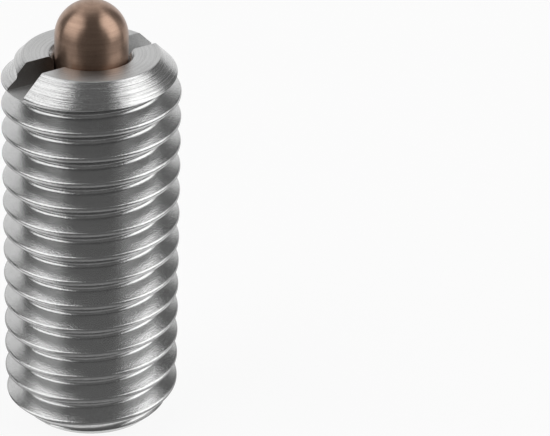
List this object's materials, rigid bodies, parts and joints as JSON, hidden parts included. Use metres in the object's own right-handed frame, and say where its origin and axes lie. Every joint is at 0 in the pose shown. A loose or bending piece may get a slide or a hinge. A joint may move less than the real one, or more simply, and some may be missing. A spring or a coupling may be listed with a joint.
{
  "type": "spring plunger",
  "caption": "Threaded sleeve with a spring-loaded domed pin at the nose, a slotted nose face and a hexagon socket set screw closing the rear.",
  "frame": {"origin": "centre of the flat rear face, on which the plunger stands", "axes": "+Z along the axis from the rear face to the pin, +X along the nose slot"},
  "size_m": [0.0098, 0.0098, 0.025],
  "materials": {
    "body_steel": "turned, bright",
    "pin_bronze": "turned, brown",
    "spring_steel": "drawn wire",
    "screw_steel": "turned, satin"
  },
  "bodies": {
    "sleeve": {"body": "body_steel", "set_screw": "screw_steel", "spring": "spring_steel"},
    "pin": {"thrust_pin": "pin_bronze"}
  },
  "joints": [
    {"name": "pin_slide", "type": "slide", "parent": "sleeve", "child": "pin", "axis": [0, 0, -1], "range_m": [0, 0.003], "stiffness_N_per_m": 5000, "springref_m": -0.003, "deforming": ["spring"]}
  ]
}
